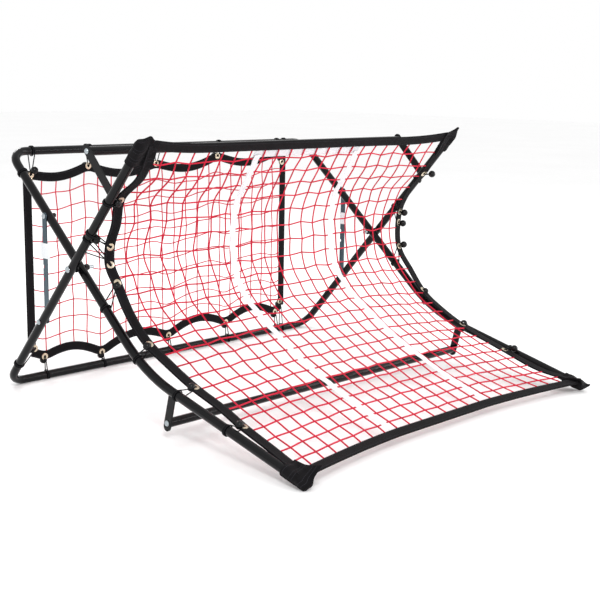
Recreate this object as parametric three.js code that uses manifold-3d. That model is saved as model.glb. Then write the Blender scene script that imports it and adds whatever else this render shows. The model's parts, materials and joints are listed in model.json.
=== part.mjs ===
// A pitch back rebounder: two bent tube frames crossed like scissors, a curved net over the front
// and a flat net over the back. Millimetres, +Z up, the curved net faces -Y, X runs along the pivot.
// The origin lies on the ground, under the middle of the overall box.
import * as THREE from 'three';
import { mergeVertices } from 'three/addons/utils/BufferGeometryUtils.js';
import Module from 'manifold-3d';

const wasm = await Module();
wasm.setup();

// ---- Driving dimensions ------------------------------------------------------------------------
const TUBE_R = 10;
const TUBE_BORE = 8.5;
const TUBE_SIDES = 20;
const BORE_SIDES = 8;
const BEND_R = 42;
const GAP = 0.3;

// Half widths, to the centre lines of the side rails.
const RAMP_X = 494;
const UPRIGHT_X = 518;

// The ramp frame, seen from the side: from the rear bar down through the pivot to a knee, then out
// to the two front feet. Distances run along the rail.
const RAMP_SLOPE = THREE.MathUtils.degToRad(40.7);
const NOSE_SLOPE = THREE.MathUtils.degToRad(13.75);
const RAMP_REAR = 370;
const RAMP_KNEE = 301;
const RAMP_NOSE = 483.5;
const KNEE_R = 380;

// The upright frame: straight rails from the bar on the ground up through the pivot.
const UPRIGHT_SLOPE = THREE.MathUtils.degToRad(48.5);
const UPRIGHT_REAR = 421;
const UPRIGHT_FRONT = 378;

// Where each rail meets its U-shaped rear bar, measured back from that bar.
const RAIL_JOINT = 60;

// Spreaders: flat arms or legs welded on the rails, joined by a cross tube.
const ARM_FOOT = 233;
const ARM_SLOPE = THREE.MathUtils.degToRad(46);
const ARM_REACH = 122;
const LEG_FOOT = 388;
const LEG_REACH = 72;
const PLATE_T = 4;
const PLATE_W = 20;
const PLATE_TIP = 18;
const INSERT_LENGTH = 14;

// Braces that hold the frames apart.
const BRACE_T = 2.5;
const BRACE_W = 16;
const BRACE_TOP = 161;
const BRACE_PIN = 185;
const BRACE_NOTCHES = [117, 146];
const BRACE_END = 242;
const NOTCH_R = 4.5;

// Bolts.
const M6 = { shank: 3, hole: 3.4, head: 6.5, headHeight: 3.5, nut: 5.5, nutHeight: 6 };
const M8 = { shank: 4, hole: 4.4, head: 7.5, headHeight: 4, nut: 7.2, nutHeight: 9 };
const PIVOT_TAIL = 13;

// Nets, hems and their elastic ties.
const NET_T = 2;
const FRONT_NET_HALF = 450;
const REAR_NET = { width: 872, bottom: 50, top: 520, behindPivot: 288 };
const POCKET = { outer: 12.6, depth: 45, cap: 4 };
const CORD_R = 1.5;
const BALL_R = 9.5;

const SIDES = [['left', -1], ['right', 1]];

// ---- Side view ---------------------------------------------------------------------------------
// A side-view vector holds (y, z).
const heading = (angle) => new THREE.Vector2(Math.cos(angle), Math.sin(angle));
const RAMP_DIR = heading(RAMP_SLOPE);
const NOSE_DIR = heading(NOSE_SLOPE);
const UPRIGHT_DIR = heading(-UPRIGHT_SLOPE);
const FLAT_R = TUBE_R * Math.cos(Math.PI / TUBE_SIDES);

const REACH_BACK = RAMP_REAR * RAMP_DIR.x + TUBE_R;
const REACH_FRONT = RAMP_KNEE * RAMP_DIR.x + RAMP_NOSE * NOSE_DIR.x + POCKET.cap + 3;
const PIVOT = new THREE.Vector2(
  (REACH_FRONT - REACH_BACK) / 2,
  FLAT_R + UPRIGHT_REAR * Math.sin(UPRIGHT_SLOPE),
);

const along = (start, direction, distance) => start.clone().addScaledVector(direction, distance);
const RAMP_TOP = along(PIVOT, RAMP_DIR, RAMP_REAR);
const KNEE = along(PIVOT, RAMP_DIR, -RAMP_KNEE);
const RAMP_TIP = along(KNEE, NOSE_DIR, -RAMP_NOSE);
const UPRIGHT_FOOT = along(PIVOT, UPRIGHT_DIR, UPRIGHT_REAR);
const UPRIGHT_TIP = along(PIVOT, UPRIGHT_DIR, -UPRIGHT_FRONT);

const place = (x, sideView) => new THREE.Vector3(x, sideView.x, sideView.y);
const rail3 = (direction) => new THREE.Vector3(0, direction.x, direction.y);

// ---- Solids ------------------------------------------------------------------------------------
const X_AXIS = new THREE.Vector3(1, 0, 0);
const Y_AXIS = new THREE.Vector3(0, 1, 0);

// Leaves only welded positions, with the faces turned outwards.
function closed(geometry) {
  geometry.deleteAttribute('normal');
  geometry.deleteAttribute('uv');
  const welded = mergeVertices(geometry, 1e-4);
  const position = welded.getAttribute('position');
  const index = Array.from(welded.index.array);
  const corner = [0, 1, 2].map(() => new THREE.Vector3());
  let volume = 0;
  for (let i = 0; i < index.length; i += 3) {
    corner.forEach((vector, k) => vector.fromBufferAttribute(position, index[i + k]));
    volume += corner[0].dot(corner[1].cross(corner[2]));
  }
  if (volume < 0) {
    index.reverse();
  }
  welded.setIndex(index);
  return welded;
}

function toSolid(geometry) {
  const welded = closed(geometry);
  return new wasm.Manifold(new wasm.Mesh({
    numProp: 3,
    vertProperties: new Float32Array(welded.getAttribute('position').array),
    triVerts: new Uint32Array(welded.index.array),
  }));
}

function fromSolid(solid) {
  const mesh = solid.getMesh();
  const geometry = new THREE.BufferGeometry();
  geometry.setAttribute('position', new THREE.BufferAttribute(mesh.vertProperties, 3));
  geometry.setIndex(Array.from(mesh.triVerts));
  return geometry;
}

// A path given as stations, each a point and a tangent, all in one plane.
class BentPath extends THREE.Curve {
  constructor(stations, planeNormal) {
    super();
    this.stations = stations;
    this.planeNormal = planeNormal;
  }

  getPointAt(u) {
    return this.stations[Math.round(u * (this.stations.length - 1))].point.clone();
  }

  computeFrenetFrames() {
    const tangents = this.stations.map((station) => station.tangent.clone());
    const binormals = tangents.map(() => this.planeNormal.clone());
    const normals = tangents.map((tangent) => this.planeNormal.clone().cross(tangent));
    return { tangents, normals, binormals };
  }
}

// Straight runs between the corners, each corner rounded to the bend radius.
function roundedPath(corners, bendRadius, bendSteps, planeNormal) {
  const runs = corners.slice(1).map((corner, i) => corner.clone().sub(corners[i]).normalize());
  const stations = [{ point: corners[0], tangent: runs[0] }];
  for (let i = 1; i < corners.length - 1; i++) {
    const turn = runs[i - 1].angleTo(runs[i]);
    const axis = runs[i - 1].clone().cross(runs[i]).normalize();
    const start = along(corners[i], runs[i - 1], -bendRadius * Math.tan(turn / 2));
    const centre = along(start, axis.clone().cross(runs[i - 1]), bendRadius);
    for (let k = 0; k <= bendSteps; k++) {
      const angle = (turn * k) / bendSteps;
      const point = start.clone().sub(centre).applyAxisAngle(axis, angle).add(centre);
      stations.push({ point, tangent: runs[i - 1].clone().applyAxisAngle(axis, angle) });
    }
  }
  stations.push({ point: corners.at(-1), tangent: runs.at(-1) });
  return new BentPath(stations, planeNormal);
}

function polygon(radius, sides, facetAngle) {
  return Array.from({ length: sides }, (_, i) => {
    const angle = facetAngle + ((i + 0.5) * 2 * Math.PI) / sides;
    return new THREE.Vector2(radius * Math.cos(angle), radius * Math.sin(angle));
  });
}

function tubeSection(facetAngle = 0) {
  const section = new THREE.Shape(polygon(TUBE_R, TUBE_SIDES, facetAngle));
  section.holes.push(new THREE.Path(polygon(TUBE_BORE, BORE_SIDES, facetAngle)));
  return section;
}

function sweep(section, path) {
  const steps = path.stations.length - 1;
  return new THREE.ExtrudeGeometry(section, { steps, extrudePath: path, curveSegments: 1 });
}

function drill(geometry, points, radius) {
  let solid = toSolid(geometry);
  for (const point of points) {
    const bit = new THREE.CylinderGeometry(radius, radius, 4 * TUBE_R, 12);
    bit.rotateZ(Math.PI / 2).translate(point.x, point.y, point.z);
    solid = solid.subtract(toSolid(bit));
  }
  return fromSolid(solid);
}

// A piece turned about an axis; the profile lists [radius, distance along the axis].
function turned(profile, sides) {
  return new THREE.LatheGeometry(profile.map(([r, d]) => new THREE.Vector2(r, d)), sides);
}

function pointAlong(geometry, direction, position) {
  const turn = new THREE.Quaternion().setFromUnitVectors(Y_AXIS, direction);
  return geometry.applyQuaternion(turn).translate(position.x, position.y, position.z);
}

// A flat plate cut to a side-view outline, lying between x and x + thickness.
function plate(outline, x, thickness) {
  const geometry = new THREE.ExtrudeGeometry(outline, {
    depth: thickness,
    bevelEnabled: false,
    curveSegments: 6,
  });
  const standUp = new THREE.Matrix4().makeBasis(
    Y_AXIS,
    new THREE.Vector3(0, 0, 1),
    X_AXIS,
  );
  return geometry.applyMatrix4(standUp).translate(x, 0, 0);
}

// ---- Assembly ----------------------------------------------------------------------------------
const rebounder = new THREE.Group();
rebounder.name = 'pitch_back_rebounder';

const LOOKS = {
  powderCoat: { color: 0x17171a, roughness: 0.32, metalness: 0.35 },
  zinc: { color: 0x8fa3a8, roughness: 0.35, metalness: 1 },
  blackPlastic: { color: 0x101114, roughness: 0.45, metalness: 0 },
  webbing: { color: 0x1d1d20, roughness: 0.9, metalness: 0 },
  redNet: { color: 0xd8202e, roughness: 0.8, metalness: 0 },
};

function add(name, geometry, look) {
  const mesh = new THREE.Mesh(closed(geometry), new THREE.MeshStandardMaterial(LOOKS[look]));
  mesh.name = name;
  rebounder.add(mesh);
}

// ---- Tube frames -------------------------------------------------------------------------------
// A rear bar with its two corner bends and a short stub of each rail.
function rearBar(halfWidth, corner, direction, facetAngle) {
  const stub = along(corner, direction, -RAIL_JOINT + GAP / 2);
  const corners = [
    place(-halfWidth, stub),
    place(-halfWidth, corner),
    place(halfWidth, corner),
    place(halfWidth, stub),
  ];
  const planeNormal = X_AXIS.clone().cross(rail3(direction));
  return sweep(tubeSection(facetAngle), roundedPath(corners, BEND_R, 6, planeNormal));
}

function addRampFrame() {
  add('ramp_rear_bar', rearBar(RAMP_X, RAMP_TOP, RAMP_DIR, 0), 'powderCoat');
  const start = along(RAMP_TOP, RAMP_DIR, -RAIL_JOINT - GAP / 2);
  const braceBolt = along(PIVOT, RAMP_DIR, BRACE_TOP);
  for (const [name, side] of SIDES) {
    const x = side * RAMP_X;
    const corners = [start, KNEE, RAMP_TIP].map((point) => place(x, point));
    const rail = sweep(tubeSection(), roundedPath(corners, KNEE_R, 8, X_AXIS));
    const holed = drill(rail, [place(x, PIVOT)], M8.hole);
    add(`ramp_rail_${name}`, drill(holed, [place(x, braceBolt)], M6.hole), 'powderCoat');
  }
}

// The bar on the ground keeps one facet level, so the frame stands on it.
function addUprightFrame() {
  const facetDown = UPRIGHT_SLOPE - Math.PI / 2;
  add('upright_rear_bar', rearBar(UPRIGHT_X, UPRIGHT_FOOT, UPRIGHT_DIR, facetDown), 'powderCoat');
  const start = along(UPRIGHT_FOOT, UPRIGHT_DIR, -RAIL_JOINT - GAP / 2);
  const bracePin = along(PIVOT, UPRIGHT_DIR, BRACE_PIN);
  for (const [name, side] of SIDES) {
    const x = side * UPRIGHT_X;
    const corners = [start, UPRIGHT_TIP].map((point) => place(x, point));
    const rail = sweep(tubeSection(), roundedPath(corners, BEND_R, 1, X_AXIS));
    const holed = drill(rail, [place(x, PIVOT)], M8.hole);
    add(`upright_rail_${name}`, drill(holed, [place(x, bracePin)], M6.hole), 'powderCoat');
  }
}

// ---- Spreaders ---------------------------------------------------------------------------------
// A welded plate from a rail out to the cross tube, with a rounded and drilled tip. Its foot is
// cut parallel to the rail.
function spreaderPlate(root, square, direction, reach, x) {
  const across = new THREE.Vector2(-direction.y, direction.x);
  const half = PLATE_W / 2;
  const tip = along(root, direction, reach + PLATE_TIP - half);
  const angle = direction.angle();
  const outline = new THREE.Shape();
  const footAt = (offset) => {
    const start = (TUBE_R + GAP - offset * across.dot(square)) / direction.dot(square);
    return along(along(root, direction, start), across, offset);
  };
  const footRight = footAt(-half);
  const footLeft = footAt(half);
  outline.moveTo(footLeft.x, footLeft.y);
  outline.lineTo(footRight.x, footRight.y);
  outline.absarc(tip.x, tip.y, half, angle - Math.PI / 2, angle + Math.PI / 2, false);
  outline.closePath();
  const bolt = along(root, direction, reach);
  const hole = new THREE.Path();
  hole.absarc(bolt.x, bolt.y, M6.hole, 0, 2 * Math.PI, true);
  outline.holes.push(hole);
  return plate(outline, x - PLATE_T / 2, PLATE_T);
}

// Two plates, a cross tube between their tips, and a bolt into a threaded insert at each end.
// "square" points away from the rail at right angles to it.
function addSpreader(names, halfWidth, root, square, direction, reach) {
  const centre = along(root, direction, reach);
  const tubeEnd = halfWidth - PLATE_T / 2 - GAP;
  const ends = [place(-tubeEnd, centre), place(tubeEnd, centre)];
  const path = roundedPath(ends, BEND_R, 1, new THREE.Vector3(0, 0, 1));
  add(names.tube, sweep(tubeSection(), path), 'powderCoat');
  const outer = PLATE_T + 2 * GAP;
  const bolt = [
    [0, -outer - M6.headHeight],
    [M6.head * 0.7, -outer - M6.headHeight],
    [M6.head, -outer - 1],
    [M6.head, -outer],
    [M6.shank, -outer],
    [M6.shank, INSERT_LENGTH],
    [0, INSERT_LENGTH],
  ];
  const insert = [
    [M6.hole, 0.5],
    [TUBE_BORE * 0.9, 0.5],
    [TUBE_BORE * 0.9, INSERT_LENGTH],
    [M6.hole, INSERT_LENGTH],
    [M6.hole, 0.5],
  ];
  for (const [name, side] of SIDES) {
    const inward = new THREE.Vector3(-side, 0, 0);
    const end = place(side * tubeEnd, centre);
    const arm = spreaderPlate(root, square, direction, reach, side * halfWidth);
    add(`${names.plate}_${name}`, arm, 'powderCoat');
    add(`${names.bolt}_${name}`, pointAlong(turned(bolt, 14), inward, end), 'zinc');
    add(`${names.insert}_${name}`, pointAlong(turned(insert, 12), inward, end), 'blackPlastic');
  }
}

function addSpreaders() {
  const upper = {
    plate: 'spreader_arm',
    tube: 'spreader_tube',
    bolt: 'spreader_bolt',
    insert: 'spreader_insert',
  };
  const lower = {
    plate: 'stand_leg',
    tube: 'stand_tube',
    bolt: 'stand_bolt',
    insert: 'stand_insert',
  };
  const armRoot = along(PIVOT, UPRIGHT_DIR, -ARM_FOOT);
  const legRoot = along(RAMP_TIP, NOSE_DIR, LEG_FOOT);
  const armSquare = new THREE.Vector2(-UPRIGHT_DIR.y, UPRIGHT_DIR.x);
  const legSquare = new THREE.Vector2(NOSE_DIR.y, -NOSE_DIR.x);
  addSpreader(upper, UPRIGHT_X, armRoot, armSquare, heading(ARM_SLOPE), ARM_REACH);
  addSpreader(lower, RAMP_X, legRoot, legSquare, legSquare, LEG_REACH);
}

// ---- Pivots and braces -------------------------------------------------------------------------
// A bolt pushed in from outside: the profile starts at the head's top and runs inwards.
function boltProfile(size, length) {
  return [
    [0, -size.headHeight],
    [size.head * 0.7, -size.headHeight],
    [size.head, -size.headHeight * 0.35],
    [size.head, 0],
    [size.shank, 0],
    [size.shank, length],
    [0, length],
  ];
}

function ringProfile(bore, outer, length) {
  return [[bore, 0], [outer, 0], [outer, length], [bore, length], [bore, 0]];
}

function hexNut(size) {
  const outline = new THREE.Shape(polygon(size.nut, 6, 0));
  const bore = new THREE.Path();
  bore.absarc(0, 0, size.hole, 0, 2 * Math.PI, true);
  outline.holes.push(bore);
  const settings = { depth: size.nutHeight, bevelEnabled: false, curveSegments: 7 };
  return new THREE.ExtrudeGeometry(outline, settings).rotateX(-Math.PI / 2);
}

// One narrow gap lies between the crossed rails; the spacer and the brace share it.
function addPivots() {
  const head = UPRIGHT_X + TUBE_R + GAP;
  const nutSeat = RAMP_X - TUBE_R - GAP;
  const boltLength = head - nutSeat + M8.nutHeight + PIVOT_TAIL;
  const spacerLength = UPRIGHT_X - RAMP_X - 2 * TUBE_R - 2 * GAP;
  for (const [name, side] of SIDES) {
    const inward = new THREE.Vector3(-side, 0, 0);
    const bolt = turned(boltProfile(M8, boltLength), 16);
    const spacer = turned(ringProfile(M8.hole, 9, spacerLength), 16);
    const nut = hexNut(M8);
    const spacerStart = place(side * (UPRIGHT_X - TUBE_R - GAP), PIVOT);
    add(`pivot_bolt_${name}`, pointAlong(bolt, inward, place(side * head, PIVOT)), 'zinc');
    add(`pivot_spacer_${name}`, pointAlong(spacer, inward, spacerStart), 'blackPlastic');
    add(`pivot_nut_${name}`, pointAlong(nut, inward, place(side * nutSeat, PIVOT)), 'blackPlastic');
  }
}

// A flat steel strip hung from the ramp rail, with rest notches cut in its rear edge.
function braceOutline(top, direction) {
  const rearward = new THREE.Vector2(-direction.y, direction.x);
  const half = BRACE_W / 2;
  const edge = (distance, offset) => along(along(top, direction, distance), rearward, offset);
  const angle = direction.angle();
  const outline = new THREE.Shape();
  outline.absarc(top.x, top.y, half, angle + Math.PI / 2, angle + 1.5 * Math.PI, false);
  const end = edge(BRACE_END, 0);
  outline.absarc(end.x, end.y, half, angle - Math.PI / 2, angle + Math.PI / 2, false);
  for (const distance of BRACE_NOTCHES.toReversed()) {
    const mouth = edge(distance, half);
    outline.absarc(mouth.x, mouth.y, NOTCH_R, angle, angle + Math.PI, true);
  }
  outline.closePath();
  for (const distance of [0, BRACE_END]) {
    const centre = edge(distance, 0);
    const hole = new THREE.Path();
    hole.absarc(centre.x, centre.y, M6.hole, 0, 2 * Math.PI, true);
    outline.holes.push(hole);
  }
  return outline;
}

function addBraces() {
  const top = along(PIVOT, RAMP_DIR, BRACE_TOP);
  const pin = along(PIVOT, UPRIGHT_DIR, BRACE_PIN);
  const direction = pin.clone().sub(top).normalize();
  const innerFace = RAMP_X + TUBE_R + 2 * GAP;
  const headSeat = innerFace + BRACE_T + GAP;
  const nutSeat = RAMP_X - TUBE_R - GAP;
  const boltLength = headSeat - nutSeat + M6.nutHeight + 1;
  const pinHead = UPRIGHT_X + TUBE_R + GAP;
  for (const [name, side] of SIDES) {
    const inward = new THREE.Vector3(-side, 0, 0);
    const x = side > 0 ? innerFace : -innerFace - BRACE_T;
    const bolt = turned(boltProfile(M6, boltLength), 14);
    const nut = hexNut(M6);
    const lockPin = turned(boltProfile(M6, 2 * TUBE_R + GAP), 14);
    add(`brace_${name}`, plate(braceOutline(top, direction), x, BRACE_T), 'zinc');
    add(`brace_bolt_${name}`, pointAlong(bolt, inward, place(side * headSeat, top)), 'zinc');
    add(`brace_nut_${name}`, pointAlong(nut, inward, place(side * nutSeat, top)), 'blackPlastic');
    add(`brace_pin_${name}`, pointAlong(lockPin, inward, place(side * pinHead, pin)), 'zinc');
  }
}

// ---- Nets --------------------------------------------------------------------------------------
// The curved net's middle line from its top hem to its front hem, relative to the pivot.
const FRONT_NET_LINE = [
  [-250, 279], [-192, 190], [-142, 115], [-124, 50], [-132, -15],
  [-177, -90], [-247, -150], [-352, -207], [-502, -255], [-672, -300],
];

// The net in three stretches, so that the parts of it that a fold can't reach stay rigid.
const FRONT_NET_STRETCHES = [
  ['front_net_top', 0, 0.12, 4],
  ['front_net_middle', 0.1205, 0.5, 14],
  ['front_net_bottom', 0.5005, 1, 10],
];

function netSection(halfWidth) {
  const half = NET_T / 2;
  return new THREE.Shape([
    new THREE.Vector2(-half, -halfWidth),
    new THREE.Vector2(half, -halfWidth),
    new THREE.Vector2(half, halfWidth),
    new THREE.Vector2(-half, halfWidth),
  ]);
}

function addNets() {
  const line = new THREE.CatmullRomCurve3(
    FRONT_NET_LINE.map(([y, z]) => new THREE.Vector3(0, PIVOT.x + y, PIVOT.y + z)),
  );
  for (const [name, from, to, steps] of FRONT_NET_STRETCHES) {
    const stations = Array.from({ length: steps + 1 }, (_, i) => {
      const u = from + ((to - from) * i) / steps;
      return { point: line.getPointAt(u), tangent: line.getTangentAt(u) };
    });
    add(name, sweep(netSection(FRONT_NET_HALF), new BentPath(stations, X_AXIS)), 'redNet');
  }
  const height = REAR_NET.top - REAR_NET.bottom;
  const rearNet = new THREE.BoxGeometry(REAR_NET.width, NET_T, height);
  rearNet.translate(0, PIVOT.x + REAR_NET.behindPivot, REAR_NET.bottom + height / 2);
  add('rear_net', rearNet, 'redNet');
}

// Fabric pockets at the net's corners, slipped over the open rail ends.
function addPockets() {
  const profile = [
    [0, GAP],
    [TUBE_R + GAP, GAP],
    [TUBE_R + GAP, -POCKET.depth],
    [POCKET.outer, -POCKET.depth],
    [POCKET.outer, POCKET.cap / 2],
    [POCKET.outer - 2, POCKET.cap],
    [0, POCKET.cap],
  ];
  for (const [name, side] of SIDES) {
    const upper = place(side * UPRIGHT_X, UPRIGHT_TIP);
    const lower = place(side * RAMP_X, RAMP_TIP);
    const upperOut = rail3(UPRIGHT_DIR).negate();
    const lowerOut = rail3(NOSE_DIR).negate();
    add(`pocket_upper_${name}`, pointAlong(turned(profile, 20), upperOut, upper), 'webbing');
    add(`pocket_lower_${name}`, pointAlong(turned(profile, 20), lowerOut, lower), 'webbing');
  }
}

// ---- Elastic ties ------------------------------------------------------------------------------
// A point on the ramp rail's centre line, by the distance from the pivot towards the front.
function onRamp(distance) {
  const turn = RAMP_SLOPE - NOSE_SLOPE;
  const reach = KNEE_R * Math.tan(turn / 2);
  const bent = distance - (RAMP_KNEE - reach);
  if (bent <= 0) {
    return { point: along(PIVOT, RAMP_DIR, -distance), tangent: RAMP_DIR };
  }
  if (bent >= KNEE_R * turn) {
    return { point: along(KNEE, NOSE_DIR, KNEE_R * turn - bent - reach), tangent: NOSE_DIR };
  }
  const slope = RAMP_SLOPE - bent / KNEE_R;
  const start = along(PIVOT, RAMP_DIR, reach - RAMP_KNEE);
  const centre = along(start, new THREE.Vector2(-RAMP_DIR.y, RAMP_DIR.x), KNEE_R);
  const tangent = heading(slope);
  return { point: along(centre, new THREE.Vector2(-tangent.y, tangent.x), -KNEE_R), tangent };
}

const onUpright = (distance) => ({
  point: along(PIVOT, UPRIGHT_DIR, -distance),
  tangent: UPRIGHT_DIR,
});

// Each tie: the hem's eyelet as half width and place relative to the pivot, and its rail's distance.
const UPRIGHT_TIES = [
  { eyelet: [492, -158, 165], rail: 211 },
  { eyelet: [486, -102, 58], rail: 116 },
  { eyelet: [486, -102, 18], rail: 98 },
];
const RAMP_TIES = [
  { eyelet: [482, -113, -21], rail: 120 },
  { eyelet: [474, -214, -141], rail: 268 },
  { eyelet: [468, -354, -209], rail: 412 },
  { eyelet: [471, -510, -253], rail: 570 },
];

// A cord from a ball round the rail and back, in the plane square to the rail.
function tie(eyelet, railPoint, railDirection) {
  const toEyelet = eyelet.clone().sub(railPoint);
  toEyelet.addScaledVector(railDirection, -toEyelet.dot(railDirection));
  const out = toEyelet.clone().normalize();
  const reach = Math.max(toEyelet.length() * 0.8, TUBE_R + BALL_R + 4);
  const ball = along(railPoint, out, reach);
  const wrap = TUBE_R + CORD_R + 0.5;
  const open = Math.acos(wrap / reach);
  const up = railDirection.clone().cross(out);
  const round = (angle) => {
    const spoke = out.clone().multiplyScalar(Math.cos(angle)).addScaledVector(up, Math.sin(angle));
    return {
      point: along(railPoint, spoke, wrap),
      tangent: railDirection.clone().cross(spoke),
    };
  };
  const steps = 8;
  const stations = Array.from({ length: steps + 1 }, (_, i) => (
    round(open + ((2 * Math.PI - 2 * open) * i) / steps)
  ));
  stations.unshift({ point: ball, tangent: stations[0].tangent });
  stations.push({ point: ball, tangent: stations.at(-1).tangent });
  const cord = sweep(new THREE.Shape(polygon(CORD_R, 6, 0)), new BentPath(stations, railDirection));
  const bead = new THREE.SphereGeometry(BALL_R, 10, 8);
  bead.translate(ball.x, ball.y, ball.z);
  return fromSolid(toSolid(cord).add(toSolid(bead)));
}

function addTies() {
  const rows = [
    ['upright_tie', UPRIGHT_X, UPRIGHT_TIES, onUpright],
    ['ramp_tie', RAMP_X, RAMP_TIES, onRamp],
  ];
  for (const [prefix, halfWidth, ties, onRail] of rows) {
    ties.forEach(({ eyelet: [x, y, z], rail }, i) => {
      const { point, tangent } = onRail(rail);
      for (const [name, side] of SIDES) {
        const eyelet = new THREE.Vector3(side * x, PIVOT.x + y, PIVOT.y + z);
        const solid = tie(eyelet, place(side * halfWidth, point), rail3(tangent));
        add(`${prefix}_${name}_${i + 1}`, solid, 'blackPlastic');
      }
    });
  }
}

addRampFrame();
addUprightFrame();
addSpreaders();
addPivots();
addBraces();
addNets();
addPockets();
addTies();

export default rebounder;
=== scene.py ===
# %% [markdown]
# # A folding ball rebounder
# Two bent steel frames cross like scissors. A curved net hangs over the front and a flat net over
# the back, both pulled tight by elastic ties. The steel parts come measured from a CAD model and
# stay where they are. This lesson gives them their finishes, and makes every soft piece new.

# %% Load the steel frame
import json
from math import cos, pi, radians, sin

import bpy
import numpy as np
from mathutils import Matrix, Vector
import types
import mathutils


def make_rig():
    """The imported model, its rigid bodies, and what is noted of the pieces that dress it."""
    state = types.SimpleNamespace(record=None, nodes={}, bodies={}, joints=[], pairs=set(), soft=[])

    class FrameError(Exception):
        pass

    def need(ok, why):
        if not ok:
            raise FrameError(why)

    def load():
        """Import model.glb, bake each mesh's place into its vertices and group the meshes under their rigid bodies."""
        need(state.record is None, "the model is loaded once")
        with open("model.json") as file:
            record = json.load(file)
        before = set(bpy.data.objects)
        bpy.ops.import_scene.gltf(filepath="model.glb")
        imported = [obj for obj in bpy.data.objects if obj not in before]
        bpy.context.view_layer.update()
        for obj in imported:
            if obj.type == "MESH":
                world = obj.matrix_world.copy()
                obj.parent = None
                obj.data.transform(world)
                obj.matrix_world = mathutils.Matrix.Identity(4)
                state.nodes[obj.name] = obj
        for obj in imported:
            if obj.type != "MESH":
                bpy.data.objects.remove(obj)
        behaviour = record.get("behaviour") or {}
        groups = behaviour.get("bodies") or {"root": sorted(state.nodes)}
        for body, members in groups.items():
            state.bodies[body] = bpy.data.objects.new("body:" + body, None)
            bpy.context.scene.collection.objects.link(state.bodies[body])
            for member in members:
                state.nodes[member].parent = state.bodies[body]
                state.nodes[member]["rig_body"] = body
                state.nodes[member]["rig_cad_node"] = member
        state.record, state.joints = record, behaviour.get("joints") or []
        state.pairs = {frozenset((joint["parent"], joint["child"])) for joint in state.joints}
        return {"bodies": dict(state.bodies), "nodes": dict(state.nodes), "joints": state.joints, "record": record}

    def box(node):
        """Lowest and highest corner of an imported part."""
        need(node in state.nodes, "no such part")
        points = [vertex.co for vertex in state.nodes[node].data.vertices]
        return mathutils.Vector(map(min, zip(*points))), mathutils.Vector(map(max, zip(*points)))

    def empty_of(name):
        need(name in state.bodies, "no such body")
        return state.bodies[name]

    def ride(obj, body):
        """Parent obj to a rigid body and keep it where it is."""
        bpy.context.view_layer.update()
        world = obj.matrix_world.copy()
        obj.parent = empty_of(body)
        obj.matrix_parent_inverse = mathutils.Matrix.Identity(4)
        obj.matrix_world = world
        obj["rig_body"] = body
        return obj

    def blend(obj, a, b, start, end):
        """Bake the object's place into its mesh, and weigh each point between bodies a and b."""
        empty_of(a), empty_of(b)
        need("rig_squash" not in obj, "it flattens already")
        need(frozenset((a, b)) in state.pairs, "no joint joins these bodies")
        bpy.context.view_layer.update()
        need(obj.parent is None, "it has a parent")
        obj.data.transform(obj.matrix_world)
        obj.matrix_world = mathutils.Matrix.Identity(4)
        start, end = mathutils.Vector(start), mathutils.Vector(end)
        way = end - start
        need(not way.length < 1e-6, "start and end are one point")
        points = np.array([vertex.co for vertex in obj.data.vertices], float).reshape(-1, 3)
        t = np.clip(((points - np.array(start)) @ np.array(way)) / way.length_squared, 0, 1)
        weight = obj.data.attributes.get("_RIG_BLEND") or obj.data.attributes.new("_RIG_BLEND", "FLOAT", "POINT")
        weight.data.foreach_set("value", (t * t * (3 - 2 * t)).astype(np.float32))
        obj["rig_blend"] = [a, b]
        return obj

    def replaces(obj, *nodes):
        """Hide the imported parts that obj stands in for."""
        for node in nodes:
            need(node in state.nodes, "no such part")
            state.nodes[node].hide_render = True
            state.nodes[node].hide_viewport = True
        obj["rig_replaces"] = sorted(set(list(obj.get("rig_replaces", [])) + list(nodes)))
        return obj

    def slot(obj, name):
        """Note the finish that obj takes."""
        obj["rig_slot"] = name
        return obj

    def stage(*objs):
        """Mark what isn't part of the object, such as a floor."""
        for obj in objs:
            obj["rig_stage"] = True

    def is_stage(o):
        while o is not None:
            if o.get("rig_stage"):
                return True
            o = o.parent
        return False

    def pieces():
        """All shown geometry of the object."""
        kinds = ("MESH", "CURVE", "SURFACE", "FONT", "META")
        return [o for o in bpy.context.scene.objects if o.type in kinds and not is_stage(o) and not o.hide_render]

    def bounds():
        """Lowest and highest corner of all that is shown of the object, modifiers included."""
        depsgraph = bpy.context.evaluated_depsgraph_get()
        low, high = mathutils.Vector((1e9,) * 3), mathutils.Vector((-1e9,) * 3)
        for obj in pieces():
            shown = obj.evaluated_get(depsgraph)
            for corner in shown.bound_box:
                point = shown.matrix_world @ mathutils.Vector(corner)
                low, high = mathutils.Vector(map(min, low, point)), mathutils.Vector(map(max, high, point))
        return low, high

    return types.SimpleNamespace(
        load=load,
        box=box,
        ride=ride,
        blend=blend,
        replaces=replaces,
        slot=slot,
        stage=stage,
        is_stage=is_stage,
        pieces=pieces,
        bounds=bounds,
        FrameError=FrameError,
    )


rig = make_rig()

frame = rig.load()
cad_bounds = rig.bounds()
MM = 0.001
FOLD = next(joint for joint in frame["joints"] if joint["name"] == "fold")
PIVOT = Vector(FOLD["pos_m"])
UPRIGHT, RAMP = FOLD["parent"], FOLD["child"]
SIDES = {"left": -1, "right": 1}
print("the frames cross at", [round(value, 3) for value in PIVOT])

# %% [markdown]
# ## The camera
# The camera comes first, so that each piece can be judged in the same view as it is made. It looks
# down a little on the left front corner, from about three metres away, with a short telephoto lens
# that keeps the two frames nearly parallel. It is held very slightly off level.

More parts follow.
